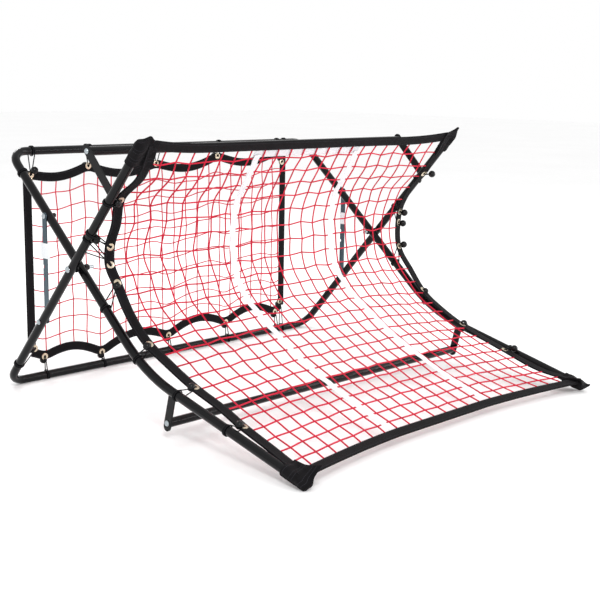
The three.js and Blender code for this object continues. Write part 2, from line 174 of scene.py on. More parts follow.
# %% Place the camera
CAMERA_PLACE = (-1.885, -1.827, 0.737)
CAMERA_TURN = radians(-45.8)
CAMERA_DIP = radians(11.14)
CAMERA_ROLL = radians(1.03)
camera_data = bpy.data.cameras.new("camera")
camera_data.lens = 66.1
camera = bpy.data.objects.new("camera", camera_data)
bpy.context.scene.collection.objects.link(camera)
camera.matrix_world = (
    Matrix.Translation(CAMERA_PLACE)
    @ Matrix.Rotation(CAMERA_TURN, 4, "Z")
    @ Matrix.Rotation(pi / 2 - CAMERA_DIP, 4, "X")
    @ Matrix.Rotation(CAMERA_ROLL, 4, "Z")
)
bpy.context.scene.camera = camera
print("camera height", CAMERA_PLACE[2])

# %% [markdown]
# ## Small helpers
# Blender's operators act on whatever is selected, so nothing is left to chance: each helper first
# selects just the objects that it is given.

# %% Selecting, joining and finishing
def only(*objects):
    """Selects these objects and no others."""
    if bpy.context.mode != "OBJECT":
        bpy.ops.object.mode_set(mode="OBJECT")
    bpy.ops.object.select_all(action="DESELECT")
    for obj in objects:
        obj.select_set(True)
    bpy.context.view_layer.objects.active = objects[0]


def modify(obj, kind, **settings):
    """Adds a modifier with these settings and applies it."""
    only(obj)
    modifier = obj.modifiers.new(kind.title(), kind)
    for name, value in settings.items():
        setattr(modifier, name, value)
    bpy.ops.object.modifier_apply(modifier=modifier.name)


def settle(obj):
    """Puts an object's place, turn and size into its mesh."""
    only(obj)
    bpy.ops.object.transform_apply(location=True, rotation=True, scale=True)


def join(name, objects):
    """Makes one object of several."""
    only(*objects)
    if len(objects) > 1:
        bpy.ops.object.join()
    objects[0].name = name
    return objects[0]


def soften(obj, degrees=35):
    """Shades round faces smooth and leaves real edges sharp."""
    only(obj)
    bpy.ops.object.shade_smooth_by_angle(angle=radians(degrees))


def in_edit_mode(obj, operation, **settings):
    """Runs one mesh operator on an object's selected parts."""
    only(obj)
    bpy.ops.object.mode_set(mode="EDIT")
    operation(**settings)
    bpy.ops.object.mode_set(mode="OBJECT")


def pick(obj, wanted, kind="VERT"):
    """Selects the vertices, edges or faces of a mesh for which wanted(part) holds."""
    only(obj)
    bpy.ops.object.mode_set(mode="EDIT")
    bpy.ops.mesh.select_mode(type=kind)
    bpy.ops.mesh.select_all(action="DESELECT")
    bpy.ops.object.mode_set(mode="OBJECT")
    parts = {"VERT": obj.data.vertices, "EDGE": obj.data.edges, "FACE": obj.data.polygons}[kind]
    for part in parts:
        part.select = bool(wanted(part))


print("objects before any modelling:", len(bpy.data.objects))

# %% [markdown]
# ## Materials
# Every finish starts from what the real one is and how it was made. Colours are written as they
# look on a screen and turned to linear light by one function. One function adds a node, with its
# settings and its links.

# %% Colour and node helpers
def linear(colour):
    """An sRGB hex colour as linear red, green, blue and alpha."""
    parts = [int(colour[i:i + 2], 16) / 255 for i in (1, 3, 5)]
    return [c / 12.92 if c <= 0.04045 else ((c + 0.055) / 1.055) ** 2.4 for c in parts] + [1.0]


def add_node(tree, kind, settings=None, links=None):
    """A new node. Settings are inputs by name or number, or else the node's own properties."""
    node = tree.nodes.new(kind)
    for key, value in (settings or {}).items():
        if isinstance(key, int) or key in node.inputs:
            node.inputs[key].default_value = value
        else:
            setattr(node, key, value)
    for key, source in (links or {}).items():
        tree.links.new(source, node.inputs[key])
    return node


def new_material(name):
    """An empty node material, its tree and its main shader."""
    material = bpy.data.materials.new(name)
    material.use_nodes = True
    tree = material.node_tree
    shader = next(node for node in tree.nodes if node.type == "BSDF_PRINCIPLED")
    return material, tree, shader


print("mid grey #808080 in linear light is", round(linear("#808080")[0], 3))

# %% [markdown]
# ### Grainy finishes
# Powder coat, zinc plate and moulded plastic all look plain from afar, but each has a fine uneven
# surface. The same three steps give it: noise of the real grain size tints the colour, changes how
# sharply the surface shines, and raises it a little.

# %% Make a grainy finish
# For each repeat of the grain, the broad cloudiness repeats this often.
CLOUDINESS = 0.06


def grainy(name, dark, light, grain, metallic, roughness, height, stretch=(1, 1, 1), **extra):
    """A finish whose colour, gloss and height vary over grains of this size, in metres."""
    material, tree, shader = new_material(name)
    place = add_node(tree, "ShaderNodeTexCoord")
    mapping = add_node(tree, "ShaderNodeMapping", {"Scale": stretch}, {0: place.outputs["Object"]})
    fine = add_node(tree, "ShaderNodeTexNoise", {"Scale": 1 / grain, "Detail": 3.0},
                    {"Vector": mapping.outputs[0]})
    broad = add_node(tree, "ShaderNodeTexNoise", {"Scale": CLOUDINESS / grain, "Detail": 2.0},
                     {"Vector": mapping.outputs[0]})
    both = add_node(tree, "ShaderNodeMath", {"operation": "MULTIPLY_ADD", 1: 0.5},
                    {0: fine.outputs[0]})
    half = add_node(tree, "ShaderNodeMath", {"operation": "MULTIPLY", 1: 0.5},
                    {0: broad.outputs[0]})
    tree.links.new(half.outputs[0], both.inputs[2])
    tint = add_node(tree, "ShaderNodeValToRGB", {}, {0: both.outputs[0]})
    tint.color_ramp.elements[0].position = 0.35
    tint.color_ramp.elements[0].color = linear(dark)
    tint.color_ramp.elements[1].position = 0.65
    tint.color_ramp.elements[1].color = linear(light)
    gloss = add_node(tree, "ShaderNodeMapRange",
                     {"From Min": 0.3, "From Max": 0.7, "To Min": roughness[0],
                      "To Max": roughness[1]}, {"Value": both.outputs[0]})
    bump = add_node(tree, "ShaderNodeBump", {"Strength": 1.0, "Distance": height},
                    {"Height": fine.outputs[0]})
    tree.links.new(tint.outputs[0], shader.inputs["Base Color"])
    tree.links.new(gloss.outputs[0], shader.inputs["Roughness"])
    tree.links.new(bump.outputs[0], shader.inputs["Normal"])
    shader.inputs["Metallic"].default_value = metallic
    for key, value in extra.items():
        shader.inputs[key.replace("_", " ")].default_value = value
    return material


print("a cloud is", round(1 / CLOUDINESS), "grains wide")

# %% [markdown]
# The hard finishes. Gloss black powder coat flows out as it is baked and keeps a faint orange peel
# about 2 mm across. Zinc plate on the bolts is bright, and on the rolled strap of the braces it is
# duller and slightly blue. Nuts are blackened, and the plugs and balls are moulded plastic.

# %% The hard finishes
powder_coat = grainy("powder_coated_steel", "#050506", "#0c0c0f", 2.0 * MM, 0.0, (0.08, 0.17),
                     0.02 * MM, Specular_IOR_Level=0.2)
zinc_bolt = grainy("zinc_plated_bolt_steel", "#8f999e", "#c4cbce", 1.2 * MM, 1.0, (0.2, 0.4),
                   0.02 * MM)
zinc_strap = grainy("zinc_plated_strap_steel", "#2f3c44", "#596972", 1.5 * MM, 0.9, (0.3, 0.5),
                    0.02 * MM, stretch=(1, 1, 0.15))
black_steel = grainy("blackened_nut_steel", "#101013", "#1e1e22", 1.0 * MM, 0.3, (0.3, 0.5),
                     0.02 * MM, Specular_IOR_Level=0.35)
nylon = grainy("moulded_black_nylon", "#080809", "#111113", 0.8 * MM, 0.0, (0.4, 0.55), 0.02 * MM,
               Specular_IOR_Level=0.3)
ball_plastic = grainy("moulded_black_polypropylene", "#070708", "#101013", 1.5 * MM, 0.0,
                      (0.2, 0.32), 0.02 * MM, Specular_IOR_Level=0.25)
nickel = grainy("nickel_plated_brass_eyelet", "#b9a78c", "#eadfca", 1.5 * MM, 1.0, (0.18, 0.32),
                0.02 * MM)
label_paper = grainy("white_vinyl_label", "#d9dcdf", "#eceef0", 3.0 * MM, 0.0, (0.4, 0.55),
                     0.02 * MM)
print("hard finishes:", len(bpy.data.materials))

# %% [markdown]
# ### Woven finishes
# Webbing and elastic are woven or braided, so light catches rows of threads. Each soft piece has a
# UV map in metres, across and along, and the pattern follows it. Real threads are about half a
# millimetre wide; these are drawn 1 to 2.4 mm wide, so that they show. A fine sheen makes the
# edges of the webbing read lighter, as fibre ends do.

# %% Sew along a strip
# The thread is 0.9 mm thick, and its stitches 4 mm long, 3.5 mm from the edge. It lies on top for
# three quarters of each stitch, and dips through the webbing for the rest.
STITCH_THREAD, STITCH_STEP, STITCH_INSET = 0.9 * MM, 4 * MM, 3.5 * MM
STITCH_ON_TOP = 0.75


def stitching(tree, place, width):
    """Where two rows of lockstitch run on a strip of this width: 1 on the thread, or else 0."""
    parts = add_node(tree, "ShaderNodeSeparateXYZ", {}, {0: place})
    from_edge = add_node(tree, "ShaderNodeMath", {"operation": "PINGPONG", 1: width / 2},
                         {0: parts.outputs["X"]})
    row = add_node(tree, "ShaderNodeMath",
                   {"operation": "COMPARE", 1: STITCH_INSET, 2: STITCH_THREAD / 2},
                   {0: from_edge.outputs[0]})
    steps = add_node(tree, "ShaderNodeMath", {"operation": "MULTIPLY", 1: 1 / STITCH_STEP},
                     {0: parts.outputs["Y"]})
    place_in_step = add_node(tree, "ShaderNodeMath", {"operation": "FRACT"}, {0: steps.outputs[0]})
    shown = add_node(tree, "ShaderNodeMath", {"operation": "LESS_THAN", 1: STITCH_ON_TOP},
                     {0: place_in_step.outputs[0]})
    return add_node(tree, "ShaderNodeMath", {"operation": "MULTIPLY"},
                    {0: row.outputs[0], 1: shown.outputs[0]})


print("stitches to the metre:", round(1 / STITCH_STEP))

# %% Make a woven finish
# A wave texture at scale 1 repeats every 0.314, so this over a thread's width is its scale.
WAVE_REPEAT = 0.314
STITCH_COLOUR = "#2c2b31"
CLOUDS_TO_THE_METRE = 40.0


def woven(name, dark, light, rib, thread, roughness, height, sheen, sewn_width=0.0):
    """A weave with ribs across and threads along the UV map, in metres."""
    material, tree, shader = new_material(name)
    place = add_node(tree, "ShaderNodeTexCoord")
    ribs = add_node(tree, "ShaderNodeTexWave",
                    {"wave_type": "BANDS", "bands_direction": "Y", "Scale": WAVE_REPEAT / rib,
                     "Distortion": 0.4, "Detail": 1.0}, {"Vector": place.outputs["UV"]})
    threads = add_node(tree, "ShaderNodeTexWave",
                       {"wave_type": "BANDS", "bands_direction": "X",
                        "Scale": WAVE_REPEAT / thread, "Distortion": 0.3, "Detail": 1.0},
                       {"Vector": place.outputs["UV"]})
    weave = add_node(tree, "ShaderNodeMath", {"operation": "MULTIPLY"},
                     {0: ribs.outputs["Fac"], 1: threads.outputs["Fac"]})
    cloudy = add_node(tree, "ShaderNodeTexNoise",
                      {"Scale": CLOUDS_TO_THE_METRE, "Detail": 3.0},
                      {"Vector": place.outputs["Object"]})
    blend = add_node(tree, "ShaderNodeMath", {"operation": "MULTIPLY_ADD", 1: 0.6},
                     {0: weave.outputs[0], 2: cloudy.outputs[0]})
    tint = add_node(tree, "ShaderNodeValToRGB", {}, {0: blend.outputs[0]})
    tint.color_ramp.elements[0].position = 0.35
    tint.color_ramp.elements[0].color = linear(dark)
    tint.color_ramp.elements[1].position = 0.95
    tint.color_ramp.elements[1].color = linear(light)
    colour, relief = tint.outputs[0], weave.outputs[0]
    if sewn_width:
        stitches = stitching(tree, place.outputs["UV"], sewn_width)
        over = add_node(tree, "ShaderNodeMix", {"data_type": "RGBA", 7: linear(STITCH_COLOUR)},
                        {0: stitches.outputs[0], 6: colour})
        raised = add_node(tree, "ShaderNodeMath", {"operation": "ADD"},
                          {0: relief, 1: stitches.outputs[0]})
        colour, relief = over.outputs[2], raised.outputs[0]
    bump = add_node(tree, "ShaderNodeBump", {"Strength": 0.8, "Distance": height},
                    {"Height": relief})
    tree.links.new(colour, shader.inputs["Base Color"])
    tree.links.new(bump.outputs[0], shader.inputs["Normal"])
    shader.inputs["Roughness"].default_value = roughness
    shader.inputs["Sheen Weight"].default_value = sheen
    shader.inputs["Sheen Roughness"].default_value = 0.5
    shader.inputs["Specular IOR Level"].default_value = 0.12
    return material


print("a 2 mm thread has a wave scale of", round(WAVE_REPEAT / (2 * MM)))

# %% [markdown]
# Black webbing is dull, ribbed across, and sewn along both edges. The white tape is finer and
# closer. The net's braided polyethylene is red right through and a little waxy. The ties are
# rubber under a braided black cover.

# %% The woven finishes
webbing = woven("woven_polypropylene_webbing", "#070608", "#131114", 1.6 * MM, 2.2 * MM, 0.75,
                0.25 * MM, 0.015, sewn_width=24 * MM)
target_tape = woven("woven_polyester_tape", "#dcdee2", "#eeeff2", 1.2 * MM, 1.8 * MM, 0.7,
                    0.15 * MM, 0.02)
net_cord = woven("braided_red_polyethylene_cord", "#ae0f2c", "#dc2643", 2.4 * MM, 1.6 * MM, 0.5,
                 0.2 * MM, 0.02)
elastic = woven("braided_black_elastic_cord", "#080809", "#19191d", 1.8 * MM, 1.2 * MM, 0.65,
                0.2 * MM, 0.02)
print("woven finishes:", webbing.name, target_tape.name, net_cord.name, elastic.name)

# %% [markdown]
# ## The steel parts
# The bolts, nuts, plates, plugs and braces keep their CAD shapes and get their finish. Each node's
# name says what it is.

# %% Give the CAD parts their finishes
FINISHES = [
    ("insert", nylon), ("spacer", nylon), ("nut", black_steel), ("bolt", zinc_bolt),
    ("pin", zinc_bolt), ("brace_", zinc_strap), ("", powder_coat),
]
for name, node in frame["nodes"].items():
    finish = next(material for word, material in FINISHES if word in name)
    node.data.materials.clear()
    node.data.materials.append(finish)
print("finished", len(frame["nodes"]), "steel parts")

# %% [markdown]
# ## The tubes
# Each frame is one tube bent to a U, but the CAD model holds it as a rear bar and two rails with a
# hairline gap between them. For the eye the three are copied, welded and joined: the faces that
# close the gap are deleted and the open rims merged. The copies are then shaded round.

# %% Copy and weld a tube
# The hairline between bar and rail, and the distance at which loose corners count as one.
HAIRLINE = 0.4 * MM
SAME_CORNER = 0.001 * MM


def welded_copy(node_name):
    """A loose-triangle CAD node's mesh as a new, merged object."""
    source = frame["nodes"][node_name]
    copy = bpy.data.objects.new(node_name + "_shown", source.data.copy())
    bpy.context.scene.collection.objects.link(copy)
    only(copy)
    bpy.ops.mesh.customdata_custom_splitnormals_clear()
    pick(copy, lambda vertex: True)
    in_edit_mode(copy, bpy.ops.mesh.remove_doubles, threshold=SAME_CORNER)
    return copy


print("tubes to weld:", [name for name in frame["nodes"] if name.endswith(("_bar", "_tube"))])

# %% Join each bent frame
# The rails join the rear bar this far up from its middle line.
RAIL_JOINT = 60 * MM
TUBE_RADIUS = 10 * MM


def bent_frame(name, bar, rails, axis, body):
    """One bent tube from a rear bar and its two rails. The bar's straight part runs along axis."""
    tube = join(name, [welded_copy(node) for node in [bar, *rails]])
    along = (PIVOT - axis).normalized()

    def at_joint(vertex):
        return abs((vertex.co - axis).dot(along) - RAIL_JOINT) < HAIRLINE

    pick(tube, at_joint)
    in_edit_mode(tube, bpy.ops.mesh.select_mode, type="FACE")
    in_edit_mode(tube, bpy.ops.mesh.delete, type="ONLY_FACE")
    pick(tube, at_joint)
    in_edit_mode(tube, bpy.ops.mesh.remove_doubles, threshold=HAIRLINE)
    soften(tube)
    tube.data.materials.clear()
    tube.data.materials.append(powder_coat)
    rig.ride(tube, body)
    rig.replaces(tube, bar, *rails)
    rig.slot(tube, "black_tube")
    return tube


_, ramp_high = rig.box("ramp_rear_bar")
upright_low, upright_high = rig.box("upright_rear_bar")
RAMP_BAR = Vector((0, ramp_high.y - TUBE_RADIUS, ramp_high.z - TUBE_RADIUS))
UPRIGHT_BAR = Vector((0, upright_high.y - TUBE_RADIUS, upright_low.z + TUBE_RADIUS))
bent_frame("ramp_frame_tube", "ramp_rear_bar", ["ramp_rail_left", "ramp_rail_right"],
           RAMP_BAR, RAMP)
bent_frame("upright_frame_tube", "upright_rear_bar", ["upright_rail_left", "upright_rail_right"],
           UPRIGHT_BAR, UPRIGHT)
for node_name, body in (("spreader_tube", UPRIGHT), ("stand_tube", RAMP)):
    cross_tube = welded_copy(node_name)
    soften(cross_tube)
    cross_tube.data.materials.clear()
    cross_tube.data.materials.append(powder_coat)
    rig.ride(cross_tube, body)
    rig.replaces(cross_tube, node_name)
    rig.slot(cross_tube, "black_tube")
print("rear bars at", [[round(v, 3) for v in bar] for bar in (RAMP_BAR, UPRIGHT_BAR)])

# %% [markdown]
# ## The shape of the front net
# Stretched cloth has no simple formula, but it has a few lines that are easy to see: the two side
# hems, pulled out at every eyelet, and the line down the middle, which the hems pull tight and
# flat. Each is a smooth line through a few measured points. Anywhere else, the net lies between
# them: flat near the middle, and curving back towards its hems.

# %% Smooth lines through points
def within_one(value):
    """A value, held between 0 and 1."""
    return min(max(value, 0), 1)


def eased(t):
    """A smooth step from 0 to 1, level at both ends."""
    return t * t * (3 - 2 * t)


def smooth_line(points):
    """A function from 0 to 1 that follows a smooth line through these points."""
    points = np.array(points, float)
    steps = np.linalg.norm(np.diff(points, axis=0), axis=1)
    stations = np.concatenate([[0.0], np.cumsum(steps)]) / steps.sum()
    slopes = np.gradient(points, stations, axis=0)

    def at(share):
        i = int(np.clip(np.searchsorted(stations, share) - 1, 0, len(steps) - 1))
        length = stations[i + 1] - stations[i]
        t = (share - stations[i]) / length
        rise = eased(t)
        return (points[i] * (1 - rise) + points[i + 1] * rise
                + slopes[i] * length * t * (1 - t) ** 2 - slopes[i + 1] * length * t * t * (1 - t))

    return at, stations


print("half way up a smooth step:", eased(0.5))

# %% The lines of the front net
# Each hem point: half width, then how far behind and above the crossing of the frames, in mm. An
# eyelet's point ends with its rail and how far along it from the crossing its tie is wound.
HEM_POINTS = {
    "left": [
        (490, -246, 273), (481, -202, 213), (492, -146, 164, UPRIGHT, 211), (484, -119, 107),
        (486, -99, 58, UPRIGHT, 116), (486, -98, 18, UPRIGHT, 98), (482, -117, -20, RAMP, 120),
        (478, -157, -84), (474, -217, -140, RAMP, 268), (470, -268, -167),
        (468, -360, -206, RAMP, 412), (464, -436, -232), (471, -511, -254, RAMP, 570),
        (474, -595, -278), (488, -690, -298),
    ],
    "right": [
        (490, -244, 270), (481, -215, 215), (492, -181, 178, UPRIGHT, 211), (486, -138, 128),
        (486, -107, 68, UPRIGHT, 116), (486, -103, 38, UPRIGHT, 98), (482, -112, -29, RAMP, 120),
        (478, -160, -88), (474, -208, -138, RAMP, 268), (466, -286, -181),
        (462, -354, -210, RAMP, 412), (460, -430, -235), (460, -491, -253, RAMP, 562),
        (464, -600, -285), (486, -690, -299),
    ],
}
MIDDLE_POINTS = [
    (-236, 272), (-218, 246), (-185, 192), (-155, 145), (-139, 49), (-154, -32),
    (-306, -160), (-456, -234), (-648, -300),
]
hem_line, hem_stations = {}, {}
for side, points in HEM_POINTS.items():
    hem_line[side], hem_stations[side] = smooth_line(
        [[value * MM for value in point[:3]] for point in points])
middle_line, _ = smooth_line([[value * MM for value in point] for point in MIDDLE_POINTS])
print("points along the hems:", {side: len(points) for side, points in HEM_POINTS.items()})

# %% The surface of the front net
# The net is flat over the middle share of its half width, and curves back beyond it.
FLAT_SHARE, HEM_CURVE = 0.3, 1.5
# Its pockets draw the top corners up the rails, from this share of the half width outwards, and
# over this share of the way down.
CORNER_RISE = 16 * MM
CORNER_START, CORNER_DEPTH, CORNER_CURVE = 0.6, 0.09, 2.5
UP_THE_RAIL = (Vector((0, PIVOT.y, PIVOT.z)) - Vector((0, *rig.box("upright_rear_bar")[1].yz))
               ).normalized()
# Directions on a net are found over steps of this share of it.
SURFACE_STEP = 0.004


def front_net(across, down):
    """A point of the front net: across from -1 to 1, down from 0 at the top hem to 1."""
    half_width, hem_y, hem_z = hem_line["left" if across < 0 else "right"](down)
    middle_y, middle_z = middle_line(down)
    share = max(0.0, (abs(across) - FLAT_SHARE) / (1 - FLAT_SHARE)) ** HEM_CURVE
    drawn = (max(0.0, (abs(across) - CORNER_START) / (1 - CORNER_START)) ** CORNER_CURVE
             * max(0.0, 1 - down / CORNER_DEPTH))
    return (PIVOT + UP_THE_RAIL * drawn * CORNER_RISE
            + Vector((across * half_width, middle_y + share * (hem_y - middle_y),
                      middle_z + share * (hem_z - middle_z))))


def facing(surface, across, down):
    """The direction that a surface faces at a point, towards the thrower."""
    step = SURFACE_STEP
    sideways = surface(min(across + step, 1), down) - surface(max(across - step, -1), down)
    downwards = surface(across, min(down + step, 1)) - surface(across, max(down - step, 0))
    return downwards.cross(sideways).normalized()


print("front net corner", [round(v, 3) for v in front_net(-1, 1)],
      "faces", [round(v, 2) for v in facing(front_net, 0, 0.8)])

# %% [markdown]
# ## The rear net
# The rear net hangs flat between the two rear bars. Its hems sag between their eyelets, by about
# 20 mm at the top and 30 mm at the bottom, because the ties pull only there.

# %% The lines of the rear net
REAR_PLANE = ramp_high.y - 3 * MM
# The ends and the eyelets of its hems: how far across and how high each one is, in mm.
REAR_TOP = [(-447, 507), (-436, 509), (-270, 524), (-55, 522), (161, 534), (385, 535), (418, 528)]
REAR_BOTTOM = [(-447, 72), (-411, 55), (-238, 39), (-16, 50), (195, 56), (393, 60), (418, 80)]
REAR_MIDDLE, REAR_HALF = -14 * MM, 432 * MM
# A hem sags fully over a span of 0.2 m or more, and turns round its eyelets within 14 mm.
FULL_SPAN, ROUNDING = 0.2, 14 * MM


def scalloped(eyelets, sag):
    """The height of a hem at a place across, sagging between its eyelets."""
    places = np.array([x for x, _ in eyelets]) * MM
    heights = np.array([z for _, z in eyelets]) * MM

    def sharp(x):
        i = int(np.clip(np.searchsorted(places, x) - 1, 0, len(places) - 2))
        gap = places[i + 1] - places[i]
        t = within_one((x - places[i]) / gap)
        straight = heights[i] + (heights[i + 1] - heights[i]) * t
        return straight + sag * min(1.0, gap / FULL_SPAN) ** 2 * sin(pi * t)

    def height(x):
        return sum(sharp(x + ROUNDING * k) for k in (-1, -0.5, 0, 0.5, 1)) / 5

    return height


rear_top = scalloped(REAR_TOP, -22 * MM)
rear_bottom = scalloped(REAR_BOTTOM, 30 * MM)


def rear_net(across, down):
    """A point of the rear net: across from -1 to 1, down from 0 at the top hem to 1."""
    x = REAR_MIDDLE + across * REAR_HALF
    return Vector((x, REAR_PLANE, rear_top(x) * (1 - down) + rear_bottom(x) * down))


print("rear net from", round(rear_bottom(0), 3), "to", round(rear_top(0), 3), "m up")

# %% [markdown]
# ## Netting
# The netting is knotless: square meshes of braided cord, about 40 mm, with a small woven joint
# at each crossing. The cord is 3.5 mm thick in the front net and 2.9 mm in the rear one. Each cord
# is a curve along the net's surface with a round section, turned into a mesh. The joints are one
# small bead, copied to every crossing.

# %% Lay round cords
def cords(name, lines, radius, material, sides=3):
    """Round cords along these lines of points, as one mesh with a UV map in metres."""
    curve = bpy.data.curves.new(name, "CURVE")
    curve.dimensions = "3D"
    curve.bevel_depth = radius
    curve.bevel_resolution = sides
    curve.use_fill_caps = True
    for line in lines:
        spline = curve.splines.new("POLY")
        spline.points.add(len(line) - 1)
        for point, place in zip(spline.points, line):
            point.co = (*place, 1)
    obj = bpy.data.objects.new(name, curve)
    bpy.context.scene.collection.objects.link(obj)
    only(obj)
    bpy.ops.object.convert(target="MESH")
    obj.data.materials.append(material)
    bpy.ops.object.shade_smooth()
    cord_uv(obj)
    return obj


def cord_uv(obj):
    """A UV map in metres from each vertex's place, slanted so that the braid crosses the cord."""
    layer = obj.data.uv_layers.active or obj.data.uv_layers.new(name="UVMap")
    for loop in obj.data.loops:
        place = obj.data.vertices[loop.vertex_index].co
        layer.data[loop.index].uv = (place.x + place.y, place.x - place.y + place.z)


print("cords are laid in:", net_cord.name, elastic.name)

# %% Knit the netting
# The steps from joint to joint, and a joint's size and flatness against the cord's.
CORD_STEPS = 3
JOINT_SIZE, JOINT_FLATNESS = 1.7, 0.75
# Joints wander less towards the bottom, where the net is tightest, by this share.
TIGHTER_BELOW = 0.6


def netting(name, surface, columns, rows, radius, slack, sewn):
    """Square-meshed netting on a surface. Slack is how far a joint wanders, in meshes, and sewn
    the share of the half width and of the height that lies inside the hems."""
    def joint_place(i, j):
        """A joint, drawn aside by two uneven waves unless it is at the edge."""
        free = slack * min(1, i, columns - i, j, rows - j) * (1 - TIGHTER_BELOW * j / rows)
        return (2 * (i + free * sin(12.9 * i + 4.1 * j)) / columns - 1,
                (j + free * sin(3.7 * i + 9.3 * j + 1)) / rows)

    def cord(joints):
        """A cord through these joints, along the surface between them."""
        ends = [np.clip(joint_place(i, j), (sewn[0] - 1, sewn[1]), (1 - sewn[0], 1 - sewn[1]))
                for i, j in joints]
        line = [surface(*ends[0])]
        for here, there in zip(ends, ends[1:]):
            line += [surface(*(here + (there - here) * k / CORD_STEPS))
                     for k in range(1, CORD_STEPS + 1)]
        return line

    lines = [cord([(i, j) for j in range(rows + 1)]) for i in range(1, columns)]
    lines += [cord([(i, j) for i in range(columns + 1)]) for j in range(1, rows)]
    strands = cords(name, lines, radius, net_cord, sides=1)
    bpy.ops.mesh.primitive_ico_sphere_add(subdivisions=1, radius=radius * JOINT_SIZE)
    bead = bpy.context.object
    beads = []
    for i in range(1, columns):
        for j in range(1, rows):
            across, down = joint_place(i, j)
            turn = facing(surface, across, down).to_track_quat("Z", "Y").to_matrix().to_4x4()
            joint = bpy.data.objects.new("joint", bead.data.copy())
            bpy.context.scene.collection.objects.link(joint)
            joint.data.transform(Matrix.Translation(surface(across, down)) @ turn
                                 @ Matrix.Diagonal((1.0, 1.0, JOINT_FLATNESS, 1.0)))
            joint.data.materials.append(net_cord)
            beads.append(joint)
    bpy.data.objects.remove(bead)
    joints = join(name + "_joints", beads)
    only(joints)
    bpy.ops.object.shade_smooth()
    return join(name, [strands, joints])


FRONT_COLUMNS, FRONT_ROWS = 23, 24
REAR_COLUMNS, REAR_ROWS = 21, 11
front_netting = netting("front_netting", front_net, FRONT_COLUMNS, FRONT_ROWS,
                        radius=1.75 * MM, slack=0.1, sewn=(0.018, 0.009))
rear_netting = netting("rear_netting", rear_net, REAR_COLUMNS, REAR_ROWS,
                       radius=1.45 * MM, slack=0.07, sewn=(0.02, 0.019))
print("net vertices", len(front_netting.data.vertices), len(rear_netting.data.vertices))

# %% [markdown]
# ## Hems and target bands
# The hems are polypropylene webbing, folded over the net's edge and sewn: 24 mm wide in front and
# 22 mm at the rear. The target is marked by two 18 mm white tapes down the net and one across its
# top. Each is a flat grid laid along its line, then given its thickness, with the edges rounded.

# %% Strips along a line
# A strip's faces across, the rounding of its edges as a share of its thickness, and the step over
# which the direction of a net's edge is found.
STRIP_COLUMNS, STRIP_ROUNDING = 4, 0.3
ALONG_STEP = 0.003


def strip(name, line, sideways, steps, width, thickness, material):
    """A flat strip: for s 0 to 1, line(s) is its middle and sideways(s) its way across."""
    bpy.ops.mesh.primitive_grid_add(x_subdivisions=STRIP_COLUMNS, y_subdivisions=steps, size=2)
    obj = bpy.context.object
    obj.name = name
    length = sum((line((i + 1) / steps) - line(i / steps)).length for i in range(steps))
    layer = obj.data.uv_layers.active
    for loop in layer.data:
        loop.uv = (loop.uv[0] * width, loop.uv[1] * length)
    for vertex in obj.data.vertices:
        s = (vertex.co.y + 1) / 2
        vertex.co = line(s) + sideways(s) * (vertex.co.x * width / 2)
    obj.matrix_world = Matrix.Identity(4)
    modify(obj, "SOLIDIFY", thickness=thickness, offset=0)
    modify(obj, "BEVEL", width=thickness * STRIP_ROUNDING, segments=2, limit_method="ANGLE",
           angle_limit=radians(60))
    soften(obj, 50)
    obj.data.materials.append(material)
    return obj


def edge_strip(name, surface, ends, inner, steps, width, thickness, material):
    """A strip along a surface's edge: ends(s) is across and down there, and inner(s) inside it."""
    def line(s):
        return surface(*ends(s))

    def sideways(s):
        before, after = max(s - ALONG_STEP, 0), min(s + ALONG_STEP, 1)
        along = (surface(*ends(after)) - surface(*ends(before))).normalized()
        inwards = surface(*inner(s)) - surface(*ends(s))
        return (inwards - along * inwards.dot(along)).normalized()

    return strip(name, line, sideways, steps, width, thickness, material)


print("a strip is", STRIP_COLUMNS, "faces wide")

# %% Sew the hems
HEM_STEPS = 150
SIDE_HEM, END_HEM = 4 * MM, 4.6 * MM


def hems(name, surface, width, steps):
    """Four hems round a net, joined: each along an edge, with a line just inside it."""
    edges = [
        (lambda s: (-1, s), lambda s: (-0.96, s)),
        (lambda s: (1, s), lambda s: (0.96, s)),
        (lambda s: (2 * s - 1, 0), lambda s: (2 * s - 1, 0.03)),
        (lambda s: (2 * s - 1, 1), lambda s: (2 * s - 1, 0.97)),
    ]
    parts = [edge_strip(name, surface, ends, inner, steps, width, thickness, webbing)
             for (ends, inner), thickness in zip(edges, (SIDE_HEM, SIDE_HEM, END_HEM, END_HEM))]
    return join(name, parts)


front_hems = hems("front_net_hems", front_net, 24 * MM, HEM_STEPS)
rear_hems = hems("rear_net_hems", rear_net, 22 * MM, HEM_STEPS)
print("hem vertices", len(front_hems.data.vertices), len(rear_hems.data.vertices))

# %% Tape the target
# The long tapes lie this far from the middle, in metres.
BAND_PLACE = 0.168
BAND_WIDTH, BAND_THICKNESS = 18 * MM, 0.7 * MM
# They lie this far off the middle of the cords, and sway this far aside between the joints.
BAND_LIFT, BAND_SWAY = 2.2 * MM, 2.2 * MM
# The cross tape is this share of the way down, and the long tapes run from it to the other share.
CROSS_DOWN, BAND_END = 0.027, 0.985


def band_line(side):
    """The line of a target tape down the net, drawn a little to and fro by the meshes."""
    def line(s):
        down = CROSS_DOWN + (BAND_END - CROSS_DOWN) * s
        drawn = BAND_SWAY * sin(pi * down * FRONT_ROWS) ** 2
        across = (side * BAND_PLACE + drawn) / hem_line["left"](down)[0]
        return front_net(across, down) + facing(front_net, across, down) * BAND_LIFT

    return line


def across_line(s):
    """The line of the target tape under the top hem, behind the cords."""
    across = (2 * s - 1) * (BAND_PLACE + BAND_WIDTH / 2) / hem_line["left"](CROSS_DOWN)[0]
    return front_net(across, CROSS_DOWN) - facing(front_net, across, CROSS_DOWN) * BAND_LIFT


def down_the_net(s):
    """The direction down the net at the cross tape."""
    return (front_net(0, 0.05) - front_net(0, 0.02)).normalized()


